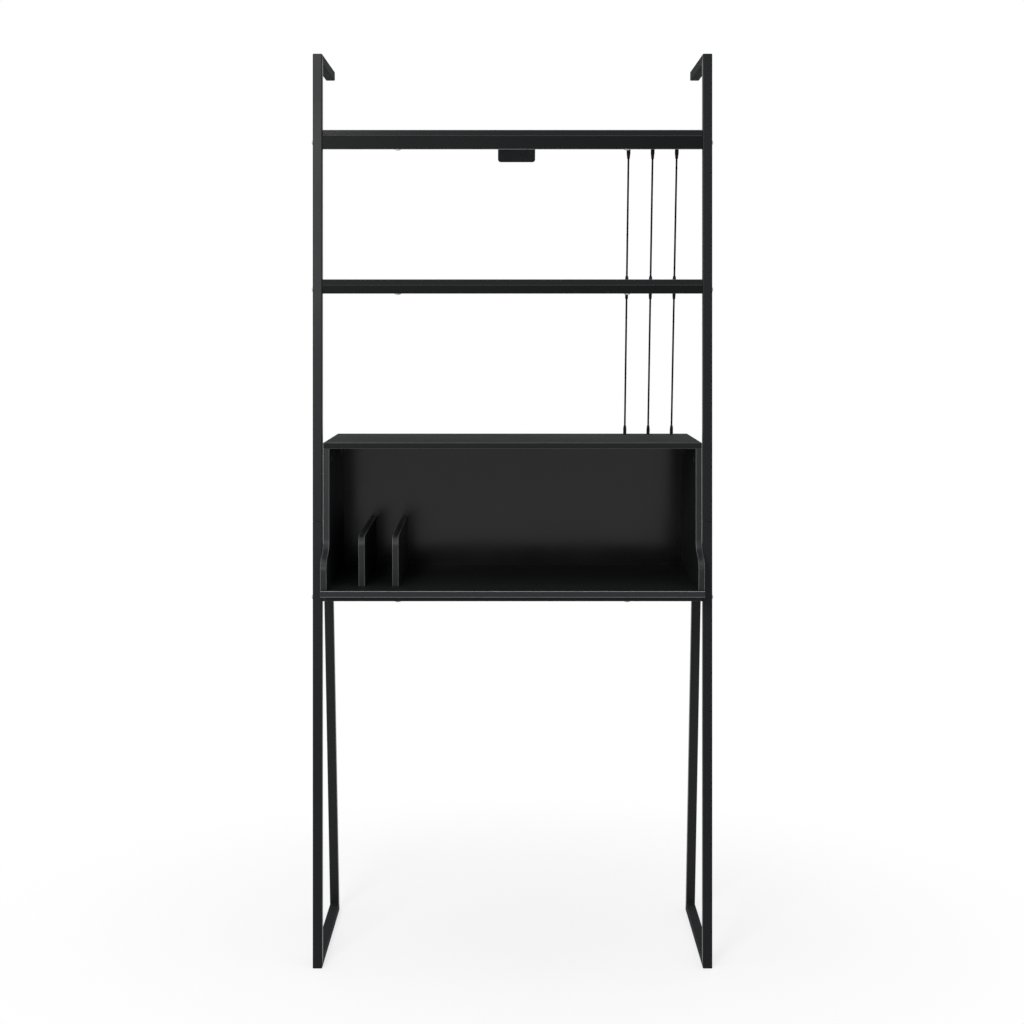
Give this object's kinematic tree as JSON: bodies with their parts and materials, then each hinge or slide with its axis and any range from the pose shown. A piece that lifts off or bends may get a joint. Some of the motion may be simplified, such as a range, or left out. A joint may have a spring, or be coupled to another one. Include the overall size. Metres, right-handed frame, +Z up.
{
  "type": "ladder desk",
  "caption": "Leaning ladder desk of black steel tube with open shelves, a desk-top cubby with file slots and taut elastic cords that hold books",
  "frame": {"origin": "on the floor, midway across the desk and midway between the front and the wall", "axes": "+X to the right of a person who sits at the desk, +Y from the sitter to the wall, +Z up"},
  "size_m": [0.7952, 0.45, 1.8],
  "materials": {
    "black_powder_coat": "fine satin powder coat",
    "black_melamine": "satin black melamine on fibreboard",
    "black_plastic": "moulded black plastic",
    "black_elastic": "braided elastic cord",
    "black_screws": "black oxide",
    "zinc_fittings": "bright zinc plate",
    "beech_dowels": "fluted beech, unfinished"
  },
  "bodies": {
    "root": {"angle_rivets": "black_screws", "angle_screws": "black_screws", "cam_bolts": "zinc_fittings", "cam_locks": "zinc_fittings", "crossbar_plugs": "zinc_fittings", "crossbar_screws": "black_screws", "desk_board": "black_melamine", "desk_front_crossbar": "black_powder_coat", "desk_rear_crossbar": "black_powder_coat", "frame_bolts": "zinc_fittings", "hutch_back_panel": "black_melamine", "hutch_cord_plugs": "black_plastic", "hutch_dowels": "beech_dowels", "hutch_screws": "black_screws", "hutch_top_panel": "black_melamine", "inner_elastic_cord": "black_elastic", "inner_file_divider": "black_melamine", "left_arm_end_cap": "black_plastic", "left_desk_angle": "black_powder_coat", "left_floor_rail": "black_powder_coat", "left_front_leg": "black_powder_coat", "left_hutch_side": "black_melamine", "left_post_spigot": "zinc_fittings", "left_rear_leg": "black_powder_coat", "left_side_rail": "black_powder_coat", "left_upper_post": "black_powder_coat", "left_wall_arm": "black_powder_coat", "middle_cord_collars": "black_plastic", "middle_cord_grommets": "black_plastic", "middle_elastic_cord": "black_elastic", "middle_shelf_board": "black_melamine", "middle_shelf_crossbar": "black_powder_coat", "middle_shelf_left_strap": "black_powder_coat", "middle_shelf_right_strap": "black_powder_coat", "outer_elastic_cord": "black_elastic", "outer_file_divider": "black_melamine", "right_arm_end_cap": "black_plastic", "right_desk_angle": "black_powder_coat", "right_floor_rail": "black_powder_coat", "right_front_leg": "black_powder_coat", "right_hutch_side": "black_melamine", "right_post_spigot": "zinc_fittings", "right_rear_leg": "black_powder_coat", "right_side_rail": "black_powder_coat", "right_upper_post": "black_powder_coat", "right_wall_arm": "black_powder_coat", "strap_screws": "black_screws", "top_cord_plugs": "black_plastic", "top_shelf_board": "black_melamine", "top_shelf_crossbar": "black_powder_coat", "top_shelf_left_strap": "black_powder_coat", "top_shelf_right_strap": "black_powder_coat", "wall_plate": "black_powder_coat", "wall_plate_screws": "black_screws"}
  },
  "joints": []
}
